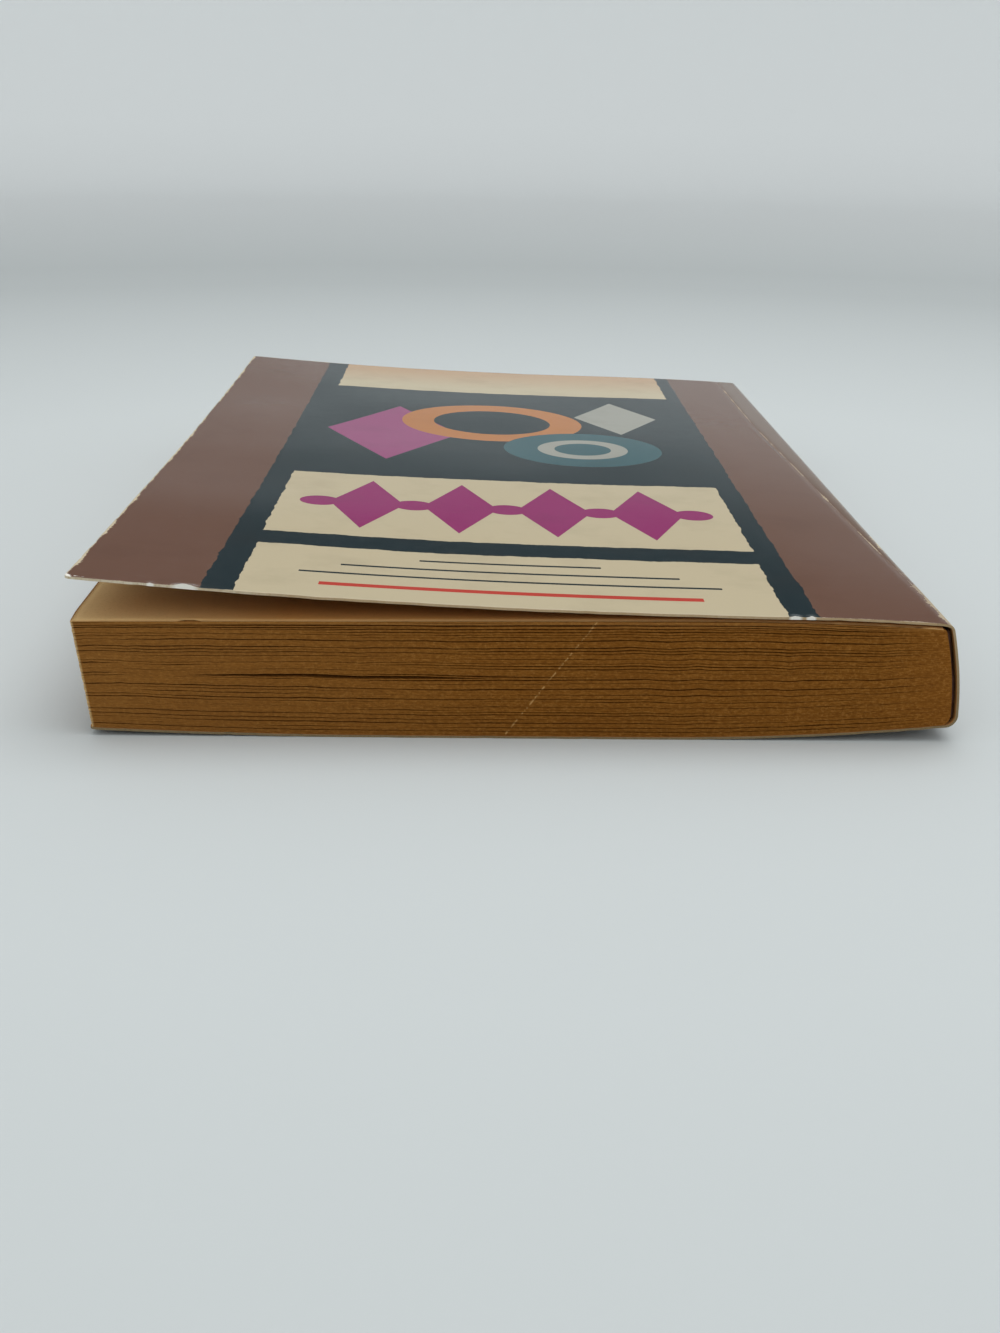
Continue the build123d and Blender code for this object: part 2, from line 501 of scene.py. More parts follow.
def leafRows(columns):
    # heights and insets of the rows up the side: lower edge, upper edge, groove under the next leaf
    gaps = leafGaps(columns)
    count = block["leaves"]
    rng = random.Random(block["seed"] + 1)
    drift = 0.0
    uneven = []
    for k in range(count):
        drift = 0.7 * drift + rng.uniform(-0.5, 0.5)
        uneven.append(block["unevenCut"] * (0.5 + 0.5 * math.tanh(drift)))
    shares = np.zeros((3 * count - 1, len(columns)))
    deep = np.zeros_like(shares)
    for c, (across, y, inward) in enumerate(columns):
        x = foreBottomX + across * leafWidth
        high = topZ(x) - bottomZ(x)
        leaf = (high - gaps[:-1, c].sum()) / count
        z = 0.0
        for k in range(count):
            waver = block["waver"] * math.sin(math.pi * k / count)
            waver *= edgeNoise("sway", c, k, 7.0) + 0.2 * edgeNoise("kink", c, k, 3.0)
            rough = uneven[k] + block["roughCut"] * (1 + edgeNoise("cut", c, k, 4.0))
            gap = gaps[k, c]
            groove = block["shutDeep"] + block["grooveDeep"] * ease(gap / block["openWide"])
            groove += block["slitDeep"] * ease(gap / block["slitWide"] - 1)
            for row, height, inset in ((0, z, 0), (1, z + leaf, 0), (2, z + leaf + gap / 2, groove)):
                if 3 * k + row < len(shares):
                    shares[3 * k + row, c] = (height + waver) / high
                    deep[3 * k + row, c] = rough + inset
            z += leaf + gap
    for c, (across, y, inward) in enumerate(columns):
        x = blockPoint(across, y, 0.99).x
        torn = max(0.0, 1 - ((x - block["nick"]) / block["nickWide"]) ** 2)
        if y == -halfLength:
            deep[-2:, c] += block["nickDeep"] * torn
    shares[0] = 0.0
    shares[-1] = 1.0
    return shares, deep


def buildLeafBlock(edgeMaterial, faceMaterial):
    columns = blockColumns()
    shares, deep = leafRows(columns)
    count, nx, ny = block["leaves"], block["across"], block["along"]
    rng = random.Random(block["seed"] + 2)
    tones = [0.6 * rng.random() + 0.4 * (0.5 + swell(k * 0.21, 3.0, 1.0)) for k in range(count)]
    bm = bmesh.new()
    # each leaf's own toning, and on the groove rows a mark for painted shade
    tone = bm.verts.layers.float.new("leafToneAndGrooveShade")
    around, rows = len(columns), 3 * count - 2
    for v, i, r in gridPlaces(bm, around, rows):
        c = i % around
        across, y, inward = columns[c]
        v.co = blockPoint(across, y, shares[r, c])
        v.co += Vector((inward[0], inward[1], 0.0)) * deep[r, c]
        # groove rows get the mark that paints shade into the gaps
        v[tone] = block["grooveShadeMark"] if r % 3 == 2 else tones[min(r // 3, count - 1)]
    sides = set(bm.faces)

    # top and bottom leaf
    for share, row in ((1.0, rows), (0.0, 0)):
        for v, i, j in gridPlaces(bm, nx, ny):
            v.co = blockPoint(acrossPlace(i), alongPlace(j), share)
            if j == 0:
                v.co.y += deep[row, (nx - i) % around]
            elif j == ny:
                v.co.y -= deep[row, nx + ny + i]
            if i == 0:
                v.co.x += deep[row, nx + j]
            v[tone] = tones[-1] if share else tones[0]
    bmesh.ops.remove_doubles(bm, verts=bm.verts, dist=block["weld"])
    bmesh.ops.recalc_face_normals(bm, faces=bm.faces)
    for f in bm.faces:
        f.material_index = 0 if f in sides else 1
        f.smooth = f not in sides
    return makePiece("leafBlock", bm, (edgeMaterial, faceMaterial))


# Cover card, one sheet from the front fore edge over the spine to the back crease, and the back cover
coverSheet = dict(
    along=140,  # rows from head to foot, the same on both pieces
    alongWarp=0.65,
    frontAcross=210,
    backAcross=110,
    acrossWarp=0.5,
    stripSteps=10,  # columns from the front crease to the back one
    shoulderSteps=8,
    spineSteps=16,
    heelSteps=10,
    backStripSteps=5,
    cornerRound=0.8 * mm,
    nibble=0.03 * mm,  # rough cut of the edges
    nibbleScale=0.9,
    chips=34,
    chipWide=(0.4 * mm, 1.3 * mm),
    chipDeep=(0.04 * mm, 0.2 * mm),
    looseRise=2.2,  # how soon it ripples, away from the crease
    ripple=0.1 * mm,
    rippleScale=(45.0, 32.0),
    edgeRipple=0.05 * mm,
    edgeRippleScale=260.0,
    edgeRippleRun=3.0 * mm,
    creaseDent=0.06 * mm,
    creaseWide=0.5 * mm,
    creaseDrift=3.5 * mm,  # the crease leaves the hinge line and meets the spine at the head
    creaseFrom=36.0 * mm,
    creaseTo=-75.0 * mm,
    foldWidth=1.6 * mm,
    flakeRun=1.4 * mm,
    gape=0.25 * mm,  # the card stands off the leaves at the head, beside the spine
    gapeFrom=27.0 * mm,
    gapeRun=15.0 * mm,
    gapeEnd=4.0 * mm,
    gapeLong=45.0 * mm,
    seed=41,
)
# Peeled flakes along the head of the front cover: place across, height of the lift, half width
headFlakes = [
    (-40.3 * mm, 0.36 * mm, 2.0 * mm),
    (-44.4 * mm, 0.10 * mm, 0.6 * mm),
    (33.5 * mm, 0.16 * mm, 1.0 * mm),
    (35.4 * mm, 0.12 * mm, 0.8 * mm),
]


def chipRow(seed, length):
    rng = random.Random(seed)
    wide, deep = coverSheet["chipWide"], coverSheet["chipDeep"]
    return [(rng.uniform(0, length), rng.uniform(*wide), rng.uniform(*deep))
            for n in range(coverSheet["chips"])]


def bite(chips, place, seed):
    # how far the worn edge lies inside the trimmed one
    worn = coverSheet["nibble"] * (1 + swell(place / mm * coverSheet["nibbleScale"], seed, 0.5))
    for centre, wide, deep in chips:
        t = abs(place - centre) / wide
        if t < 1:
            worn = max(worn, deep * (1 - t * t))
    return worn


def arcPoints(centre, radius, start, end, steps):
    for n in range(1, steps + 1):
        a = start + (end - start) * n / steps
        yield (centre.x + radius * math.cos(a), centre.y + radius * math.sin(a))


def spinePath():
    # outside of the card from the front crease round the spine to the back crease,
    # and which of its points are the upper and lower edge of the spine
    topAngle = math.pi / 2 + math.atan(shoulderSlope)
    bottomAngle = math.atan(heelSlope) - math.pi / 2
    topEnd = shoulder.x + form["shoulderRound"] * math.cos(topAngle)
    strip, back = coverSheet["stripSteps"], coverSheet["backStripSteps"]
    shoulderSteps, heelSteps = coverSheet["shoulderSteps"], coverSheet["heelSteps"]
    shoulderRound, heelRound = form["shoulderRound"] + wrap, form["heelRound"] + wrap
    path = []
    for n in range(strip + 1):
        x = frontCrease + (topEnd - frontCrease) * n / strip
        path.append((x, topZ(x) + wrap))
    path += arcPoints(shoulder, shoulderRound, topAngle, shoulderAngle, shoulderSteps)
    upper = len(path) - 1 - shoulderSteps // 2
    path += arcPoints(spineCentre, spineRadius + wrap, shoulderAngle, heelAngle, coverSheet["spineSteps"])
    path += arcPoints(heel, heelRound, heelAngle, bottomAngle, heelSteps)
    lower = len(path) - 1 - heelSteps // 2
    lastX = path[-1][0]
    for n in range(1, back + 1):
        x = lastX + (backCrease - lastX) * n / back
        path.append((x, bottomZ(x) - wrap))
    return path, upper, lower


spineCurve, upperEdge, lowerEdge = spinePath()
spineLengths = [0.0]
for a, b in zip(spineCurve, spineCurve[1:]):
    spineLengths.append(spineLengths[-1] + math.dist(a, b))
upperPlace = frontCrease + spineLengths[upperEdge]      # places on the flat sheet
lowerPlace = frontCrease + spineLengths[lowerEdge]
backPlace = frontCrease + spineLengths[-1]
sheetEnd = backPlace + backCrease - foreBottomX
headChips = chipRow(coverSheet["seed"], sheetEnd - foreTopX)
footChips = chipRow(coverSheet["seed"] + 1, sheetEnd - foreTopX)
foreChips = chipRow(coverSheet["seed"] + 2, 2 * halfLength)


def sheetRow(t, place):
    # distance along the book of a row of the sheet, inside its worn head and foot edges
    head = -halfLength + bite(headChips, place - foreTopX, 3.0)
    foot = halfLength - bite(footChips, place - foreTopX, 7.0)
    return head + endWarp(t, coverSheet["alongWarp"]) * (foot - head)


def roundCorner(x, y, edge):
    # pulls a point near a fore-edge corner back into its rubbed rounding
    radius = coverSheet["cornerRound"]
    p = radius - (x - edge)
    q = radius - (halfLength - abs(y))
    if p > 0 and q > 0:
        squeeze = max(p, q) / math.hypot(p, q)
        x = edge + radius - p * squeeze
        y = math.copysign(halfLength - radius + q * squeeze, y)
    return x, y


def creaseDent(place, y):
    t = (coverSheet["creaseFrom"] - y) / (coverSheet["creaseFrom"] - coverSheet["creaseTo"])
    crease = frontCrease + coverSheet["creaseDrift"] * min(1.0, max(0.0, t))
    return coverSheet["creaseDent"] * math.exp(-(((place - crease) / coverSheet["creaseWide"]) ** 2))


def coverLift(y):
    # the two corners of the front cover curl up more than the middle of its fore edge
    head, middle, foot = form["headLift"], form["midLift"], form["footLift"]
    t = y / halfLength
    return middle + (foot - head) / 2 * t + ((head + foot) / 2 - middle) * t**2


def headGape(place, y):
    rise = ease((place - coverSheet["gapeFrom"]) / coverSheet["gapeRun"])
    rise *= ease(1 - (place - upperPlace) / coverSheet["gapeEnd"])
    return coverSheet["gape"] * rise * ease(1 - (y + halfLength) / coverSheet["gapeLong"])


def frontPoint(i, t):
    step = i - coverSheet["frontAcross"]
    if step > 0:
        x, z = spineCurve[step]
        place = frontCrease + spineLengths[step]
        y = sheetRow(t, place)
        dent = creaseDent(place, y) if step <= upperEdge else 0.0
        return Vector((x, y, z - dent + headGape(place, y))), place
    s = i / coverSheet["frontAcross"]
    x = foreTopX + endWarp(s, coverSheet["acrossWarp"]) * (frontCrease - foreTopX)
    place = x
    y = sheetRow(t, place)
    if i == 0:
        x += bite(foreChips, y + halfLength, 11.0)
    x, y = roundCorner(x, y, foreTopX)
    away = (frontCrease - x) / (frontCrease - foreTopX)
    z = topZ(x) + wrap + coverLift(y) * away**2
    loose = ease(away * coverSheet["looseRise"])
    toHead = ease(1 - (y + halfLength) / coverSheet["edgeRippleRun"])
    scaleX, scaleY = coverSheet["rippleScale"]
    z += coverSheet["ripple"] * loose * swell(x * scaleX, y * scaleY, 2.0)
    edgeWave = swell(x * coverSheet["edgeRippleScale"], 3.0, 8.0)
    z += coverSheet["edgeRipple"] * loose * toHead * edgeWave
    return Vector((x, y, z - creaseDent(place, y) + headGape(place, y))), place


def backPoint(i, t):
    s = i / coverSheet["backAcross"]
    x = backCrease + endWarp(s, coverSheet["acrossWarp"]) * (foreBottomX - backCrease)
    place = backPlace + backCrease - x
    y = sheetRow(t, place)
    if i == coverSheet["backAcross"]:
        x += bite(foreChips, halfLength - y, 13.0)
    x, y = roundCorner(x, y, foreBottomX)
    return Vector((x, y, bottomZ(x) - wrap)), place


def flakeLift(place, y):
    # where the edge is torn the printed face stands off the card below
    lift = 0.0
    for centre, high, wide in headFlakes:
        sideways = ease(1 - abs(place - centre) / wide)
        lift += high * sideways * ease(1 - (y + halfLength) / coverSheet["flakeRun"])
    return lift


def buildSheet(name, point, across, materials):
    bm = bmesh.new()
    flat = bm.verts.layers.float_vector.new("sheetPlace")
    along = coverSheet["along"]
    for v, i, j in gridPlaces(bm, across, along):
        v.co, place = point(i, j / along)
        v[flat] = (place, v.co.y, 0.0)
    bm.normal_update()
    outside = set(bm.verts)
    bmesh.ops.solidify(bm, geom=bm.faces[:], thickness=card)
    for v in outside:
        v.co.z += flakeLift(v[flat].x, v[flat].y)
    for f in bm.faces:
        out = sum(v in outside for v in f.verts)
        f.material_index = 0 if out == len(f.verts) else (1 if out == 0 else 2)
        f.smooth = f.material_index != 2
    return makePiece(name, bm, materials)


# Glue on the back of the leaves, short of the trimmed edges
glueLine = dict(
    up=26,
    along=90,
    alongWarp=0.7,
    overRound=0.6,  # how far it goes over the two roundings
    short=1.2 * mm,
    endScale=900.0,
    clear=0.02 * mm,
    lump=0.06 * mm,
    lumpScale=(300.0, 700.0),
)


def buildGlueLine(material):
    bm = bmesh.new()
    up, along = glueLine["up"], glueLine["along"]
    low = heel.y - glueLine["overRound"] * form["heelRound"]
    high = shoulder.y + glueLine["overRound"] * form["shoulderRound"]
    lumpY, lumpZ = glueLine["lumpScale"]
    for v, i, j in gridPlaces(bm, up, along):
        z = high + (low - high) * i / up
        side = math.copysign(2.0, j - along / 2)
        uneven = swell(z * glueLine["endScale"], side, 0.3)
        end = halfLength - glueLine["short"] * (0.6 + 0.4 * uneven)
        y = (2 * endWarp(j / along, glueLine["alongWarp"]) - 1) * end
        lump = glueLine["lump"] * (1 + swell(y * lumpY, z * lumpZ, 1.0))
        v.co = (spineEdge(z) - glueLine["clear"] - lump, y, z)
    bm.normal_update()
    bmesh.ops.solidify(bm, geom=bm.faces[:], thickness=form["glue"])
    for f in bm.faces:
        f.smooth = True
    return makePiece("glueLine", bm, (material,))


# Paper and glue materials
def paperFollows(tree, place):
    # what the washes of colour follow: the paper's grain and the three coordinates
    x, y, z = put(tree, "ShaderNodeSeparateXYZ", {0: place}).outputs
    cloud, fleck = groupOut(tree, paperGrain, Place=place)
    return dict(x=x, y=y, z=z, cloud=cloud, fleck=fleck)


def washed(tree, colour, follows, washes):
    # each wash: what it follows, where it starts, where it is full, how strong it is there, ink
    for key, start, full, strength, over in washes:
        colour = cover(tree, spread(tree, follows[key], start, full, 0.0, strength), colour, over)
    return colour


# A pale dotted scratch runs down the head edges of the leaves: x and z of its two ends
scratch = dict(
    top=(8.5 * mm, 14.1 * mm),
    foot=(-1.6 * mm, 0.5 * mm),
    wide=0.15 * mm,
    dots=(2000.0, 2.0),
    dotRange=(0.45, 0.58),
    headRun=1.0 * mm,  # it is on the head side alone
    strength=0.8,
    ink=ink(212, 166, 104),
)


def scratchMask(tree, place, follows):
    (x0, z0), (x1, z1) = scratch["top"], scratch["foot"]
    length = math.dist((x0, z0), (x1, z1))
    nx, nz = (z0 - z1) / length, (x1 - x0) / length
    along = calc(tree, "MULTIPLY_ADD", follows["z"], nz, -(x0 * nx + z0 * nz))
    away = calc(tree, "ABSOLUTE", calc(tree, "MULTIPLY_ADD", follows["x"], nx, along))
    line = spread(tree, away, scratch["wide"], 0.0)
    dots = spread(tree, grain(tree, place, *scratch["dots"]), *scratch["dotRange"])
    atHead = calc(tree, "LESS_THAN", follows["y"], scratch["headRun"] - halfLength)
    mask = times(tree, times(tree, line, dots), atHead)
    return times(tree, mask, scratch["strength"])


pageEdges = dict(
    ink=ink(132, 82, 26),
    fibre=(1500.0, 4.0, 0.65, (1.0, 1.0, 3.6)),  # stretched along the leaves
    toning=[
        ("tone", 0.2, 1.0, 0.45, ink(112, 66, 18)),
        ("fibre", 0.5, 0.7, 0.65, ink(168, 114, 52)),
        ("fibre", 0.47, 0.3, 0.6, ink(96, 52, 13)),
        ("fleck", 0.54, 0.74, 0.5, ink(174, 122, 60)),
        ("cloud", 0.45, 0.8, 0.35, ink(114, 66, 20)),
        ("x", 0.0, -55.0 * mm, 0.35, ink(156, 110, 58)),
    ],
    cornerWide=(0.4 * mm, 0.15 * mm),  # painted highlight on the rounded corners at the fore edge
    cornerLong=(0.9 * mm, 0.5 * mm),
    cornerFibre=(0.35, 0.6, 0.45, 0.95),
    cornerHighlightInk=ink(222, 190, 134),
    lines=[  # painted shade in the grooves between leaves, and a painted highlight on the rim of the top leaf
        ("tone", 1.1, 1.8, 1.0, ink(76, 32, 9)),
        # painted highlight on the rim of the top leaf
        ("z", foreTopZ - 0.5 * mm, foreTopZ - 0.1 * mm, 0.2, ink(182, 132, 74)),
    ],
    specular=0.1,
    rough=0.95,
    fibreHeight=0.8,
    bump=(0.5, 0.06 * mm),
)


def pageEdgeMaterial():
    look = pageEdges
    material, tree, shader, place = newMaterial("trimmedPageEdges", look)
    follows = paperFollows(tree, place)
    fibre = grain(tree, place, *look["fibre"])
    tone = put(tree, "ShaderNodeAttribute", attribute_name="leafToneAndGrooveShade").outputs["Fac"]
    follows.update(fibre=fibre, tone=tone)
    colour = washed(tree, look["ink"], follows, look["toning"])
    leaning = form["lean"] / form["foreThick"]
    upright = calc(tree, "MULTIPLY_ADD", follows["z"], leaning, follows["x"])
    corner = foreBottomX + leaning * (bellyZ + form["foreLift"]) + block["cornerWear"]
    toEnd = minus(tree, halfLength, calc(tree, "ABSOLUTE", follows["y"]))
    # painted highlight where the rounded fore corners catch the light
    nearFore = spread(tree, upright, *(corner + reach for reach in look["cornerWide"]))
    cornerHighlight = times(tree, nearFore, spread(tree, toEnd, *look["cornerLong"]))
    cornerHighlight = times(tree, cornerHighlight, spread(tree, fibre, *look["cornerFibre"]))
    colour = cover(tree, cornerHighlight, colour, look["cornerHighlightInk"])
    # painted shade in the grooves between leaves, painted highlight on the top leaf's rim
    colour = washed(tree, colour, follows, look["lines"])
    colour = cover(tree, scratchMask(tree, place, follows), colour, scratch["ink"])
    height = calc(tree, "MULTIPLY_ADD", fibre, look["fibreHeight"], follows["fleck"])
    feed(tree, shader, look, colour, height)
    return material


def paperMaterial(name, look, onSheet=False):
    # a page or the inside of the card, washed from its open edges: toning, and on the pages also painted
    # light and shade
    material, tree, shader, place = newMaterial(name, look, onSheet)
    follows = paperFollows(tree, place)
    toFore = calc(tree, "MINIMUM", minus(tree, follows["x"], foreTopX), minus(tree, sheetEnd, follows["x"]))
    toEnd = minus(tree, halfLength, calc(tree, "ABSOLUTE", follows["y"]))
    rim = calc(tree, "MINIMUM", toFore, toEnd)
    drift = times(tree, minus(tree, follows["cloud"], 0.5), look["drift"])
    for key, gap in (("toEnd", toEnd), ("toFore", toFore), ("margin", rim)):
        follows[key] = calc(tree, "ADD", gap, drift)
    follows["rim"] = rim
    colour = washed(tree, look["ink"], follows, look["washes"])
    feed(tree, shader, look, colour, follows["fleck"])
    return material


# Top and bottom page: brown margins at head and foot, toning deepened as painted shade under the cover; a
# pale strip at the fore edge, painted light; a pale rim, a painted highlight
pageFaces = dict(
    ink=ink(214, 182, 134),
    drift=12.0 * mm,  # clouds move the margins about
    washes=[
        # toning at head and foot, deepened as painted shade under the cover
        ("toEnd", 24.0 * mm, 6.0 * mm, 0.85, ink(205, 145, 74)),
        # paler towards the fore edge: painted light where it enters the gap
        ("toFore", 26.0 * mm, 2.0 * mm, 0.9, ink(226, 196, 140)),
        ("fleck", 0.5, 0.8, 0.25, ink(160, 114, 66)),
        # painted highlight on the rim
        ("rim", 0.8 * mm, 0.2 * mm, 0.8, ink(228, 190, 130)),
    ],
    specular=0.15,
    rough=0.9,
    bump=(0.25, 0.04 * mm),
)

driedGlue = dict(
    ink=ink(62, 38, 26),
    washes=[("lumps", 0.35, 0.7, 1.0, ink(84, 54, 38))],
    lumps=(700.0, 3.0),
    roughRange=(0.3, 0.7, 0.4, 0.65),
    specular=0.3,
    bump=(0.5, 0.1 * mm),
)


def glueMaterial():
    look = driedGlue
    material, tree, shader, place = newMaterial("bindingGlue", look)
    lumps = grain(tree, place, *look["lumps"])
    colour = washed(tree, look["ink"], dict(lumps=lumps), look["washes"])
    feed(tree, shader, look, colour, lumps, spread(tree, lumps, *look["roughRange"]))
    return material


# Print on the cover, in millimetres on the flat sheet: a plain geometric design
coverPrint = dict(
    ground=ink(109, 81, 68),
    slate=ink(38, 50, 54),
    cream=ink(197, 184, 154),
    magenta=ink(146, 52, 106),
    red=ink(188, 70, 60),
    orange=ink(184, 122, 70),
    teal=ink(60, 94, 100),
    pink=ink(152, 78, 120),
    grey=ink(160, 160, 150),
    rubbed=ink(202, 188, 160),
    core=ink(238, 234, 224),
    column=(-37.8, 37.4, -90.0, 90.0),  # fields: left, right, head, foot
    headPanel=(-33.8, 33.6, -90.0, -64.0),
    band=(-34.0, 34.0, -57.5, -19.0),
    footPanel=(-33.6, 34.6, 61.0, 90.0),
    warmth=(66.0, 84.0, 0.0, 0.45),  # the foot panel turns orange towards the foot
    waver=1.3,  # rough edges of the fields
    waverGrain=(260.0, 4.0, 0.65),
    aside=0.45,  # the print sits a little askew
    askew=-0.0052,
    scuff=(400.0, 6.0, 0.7),
    washes=[
        ("scuff", 0.6, 0.85, 0.13, ink(146, 130, 118)),
        ("cloud", 0.5, 0.85, 0.16, ink(66, 50, 42)),
    ],
    sheenStripInk=ink(134, 124, 112),  # painted sheen: paler, greyer card from the crease round the spine to the heel
    sheenStripStrength=0.4,
    specular=0.05,
    leastRough=0.05,
    scuffRough=0.12,
    lostRough=0.9,
    fleckHeight=0.25,
    lostHeight=-0.6,
    bump=(0.3, 0.05 * mm),
)
# Rules on the head panel: left, right, head, foot
headRules = [
    (-24.0, 24.0, -82.0, -80.6),
    (-27.0, 27.0, -76.6, -75.9),
    (-22.0, 22.0, -72.6, -71.9),
    (-12.0, 12.0, -68.6, -67.9),
]
# Shapes: place across and along, then half width and half length, or radius and hole (none below 0)
bandStep, bandY, noHole = 14.0, -38.0, -1.0
printShapes = [("lozenge", -21.0 + bandStep * n, bandY, 5.6, 15.0, "magenta") for n in range(4)]
printShapes += [("disc", -28.0 + bandStep * n, bandY, 3.0, noHole, "magenta") for n in range(5)]
printShapes += [
    ("lozenge", -20.0, 18.0, 12.0, 24.0, "pink"),
    ("disc", -2.0, 30.0, 17.0, 11.0, "orange"),
    ("disc", 14.0, 8.0, 14.0, noHole, "teal"),
    ("disc", 14.0, 8.0, 8.0, 5.0, "grey"),
    ("lozenge", 22.0, 38.0, 8.0, 16.0, "grey"),
]
# Wear of the print: how far ink is lost from each edge and fold, in millimetres
wear = dict(
    ends=0.24,
    fore=0.4,
    heel=0.3,
    crease=0.16,
    fold=(-20.0, -80.0, 0.3, 0.85),  # upper edge of the spine, more towards the head
    foldStrength=0.85,
    patch=(75.0, 3.0),  # the folds are worn in patches
    patchRange=(0.46, 0.64, 0.15, 1.0),
    atHead=(-58.0, -80.0, 0.0, 0.85),  # but all along near the head
    headCorner=3.0,
    corners=1.0,
    flakes=0.45,
    # how far past the crease the painted sheen fades in
    strip=0.5,
)


def wornInkAndSheen(tree, place, flatX, flatY):
    # ink lost along the edges and folds, white core bared at flakes and corners, and a strip of painted
    # sheen past the crease
    torn = groupOut(tree, ragged, Place=place)[0]

    def rubbed(gap, reach):
        return groupOut(tree, rubbedEdge, Gap=gap, Reach=reach, Ragged=torn)[0]

    toEnd = minus(tree, halfLength / mm, calc(tree, "ABSOLUTE", flatY))
    toHead = calc(tree, "ADD", halfLength / mm, flatY)
    toFront = minus(tree, flatX, foreTopX / mm)
    toBack = minus(tree, sheetEnd / mm, flatX)
    toHeel = off(tree, flatX, lowerPlace / mm)
    worn = rubbed(toEnd, wear["ends"])
    for gap, reach in ((toFront, wear["fore"]), (toBack, wear["fore"]), (toHeel, wear["heel"])):
        worn = calc(tree, "MAXIMUM", worn, rubbed(gap, reach))
    bend = spread(tree, flatY, coverSheet["creaseFrom"] / mm, coverSheet["creaseTo"] / mm)
    creaseX = calc(tree, "MULTIPLY_ADD", bend, coverSheet["creaseDrift"] / mm, frontCrease / mm)
    atFold = rubbed(off(tree, flatX, upperPlace / mm), spread(tree, flatY, *wear["fold"]))
    folded = calc(tree, "MAXIMUM", rubbed(off(tree, flatX, creaseX), wear["crease"]), atFold)
    patchy = spread(tree, grain(tree, place, *wear["patch"]), *wear["patchRange"])
    patchy = calc(tree, "MAXIMUM", patchy, spread(tree, flatY, *wear["atHead"]))
    folded = times(tree, times(tree, folded, patchy), wear["foldStrength"])
    worn = calc(tree, "MAXIMUM", worn, folded)
    bared = rubbed(apart(tree, toFront, toHead), wear["headCorner"])
    for gap in (apart(tree, toFront, toEnd), apart(tree, toBack, toEnd)):
        bared = calc(tree, "MAXIMUM", bared, rubbed(gap, wear["corners"]))
    for centre, high, wide in headFlakes:
        sideways = calc(tree, "DIVIDE", off(tree, flatX, centre / mm), wide / mm)
        bared = calc(tree, "MAXIMUM", bared, rubbed(apart(tree, sideways, toHead), wear["flakes"]))
    # painted sheen on the face that slopes from the crease down to the spine
    strip = spread(tree, minus(tree, flatX, creaseX), 0.0, wear["strip"])
    strip = times(tree, strip, calc(tree, "LESS_THAN", flatX, lowerPlace / mm))
    return worn, bared, strip


def printedCardMaterial():
    design = coverPrint
    material, tree, shader, place = newMaterial("printedCard", design, True)
    follows = paperFollows(tree, place)
    flatX = times(tree, follows["x"], 1 / mm)
    flatY = times(tree, follows["y"], 1 / mm)
    wave = minus(tree, grain(tree, place, *design["waverGrain"]), 0.5)
    slant = calc(tree, "MULTIPLY_ADD", flatY, design["askew"], design["aside"])
    printX = calc(tree, "ADD", flatX, slant)
    wavedX = calc(tree, "MULTIPLY_ADD", wave, design["waver"], printX)
    wavedY = calc(tree, "MULTIPLY_ADD", wave, design["waver"], flatY)

    def field(left, right, head, foot, x=wavedX, y=wavedY):
        return groupOut(tree, printField, X=x, Y=y, Left=left, Right=right, Head=head, Foot=foot)[0]

    def shape(kind, atX, atY, first, second):
        at = dict(X=printX, Y=flatY, AtX=atX, AtY=atY)
        if kind == "disc":
            return groupOut(tree, printDisc, Radius=first, Hole=second, **at)[0]
        return groupOut(tree, printLozenge, Wide=first, Long=second, **at)[0]

    colour = cover(tree, field(*design["column"]), design["ground"], design["slate"])
    for panel in ("headPanel", "band", "footPanel"):
        colour = cover(tree, field(*design[panel]), colour, design["cream"])
    for n, rule in enumerate(headRules):
        ruleInk = design["red"] if n == 0 else design["slate"]
        colour = cover(tree, field(*rule, printX, flatY), colour, ruleInk)
    for kind, atX, atY, first, second, name in printShapes:
        colour = cover(tree, shape(kind, atX, atY, first, second), colour, design[name])
    warm = times(tree, field(*design["footPanel"]), spread(tree, flatY, *design["warmth"]))
    colour = cover(tree, warm, colour, design["orange"])

    # rubbing and small marks over the print
    follows["scuff"] = grain(tree, place, *design["scuff"])
    colour = washed(tree, colour, follows, design["washes"])
    worn, bared, strip = wornInkAndSheen(tree, place, flatX, flatY)
    # painted sheen from the crease to the heel
    colour = cover(tree, times(tree, strip, design["sheenStripStrength"]), colour, design["sheenStripInk"])
    colour = cover(tree, worn, colour, design["rubbed"])
    colour = cover(tree, bared, colour, design["core"])
    lost = calc(tree, "MAXIMUM", worn, bared)
    rough = calc(tree, "MULTIPLY_ADD", follows["scuff"], design["scuffRough"], design["leastRough"])
    rough = calc(tree, "MAXIMUM", rough, times(tree, lost, design["lostRough"]))
    height = times(tree, follows["fleck"], design["fleckHeight"])
    height = calc(tree, "MULTIPLY_ADD", lost, design["lostHeight"], height)
    feed(tree, shader, design, colour, height, rough)
    return material


# Inside of the card, toned brown along its three open edges
cardInside = dict(
    ink=ink(200, 166, 118),
    drift=12.0 * mm,
    washes=[
        ("margin", 22.0 * mm, 3.0 * mm, 0.85, ink(168, 110, 54)),
        ("cloud", 0.45, 0.8, 0.3, ink(166, 122, 74)),
        ("fleck", 0.5, 0.8, 0.2, ink(206, 166, 114)),
    ],
    specular=0.15,
    rough=0.85,
    bump=(0.25, 0.04 * mm),
)

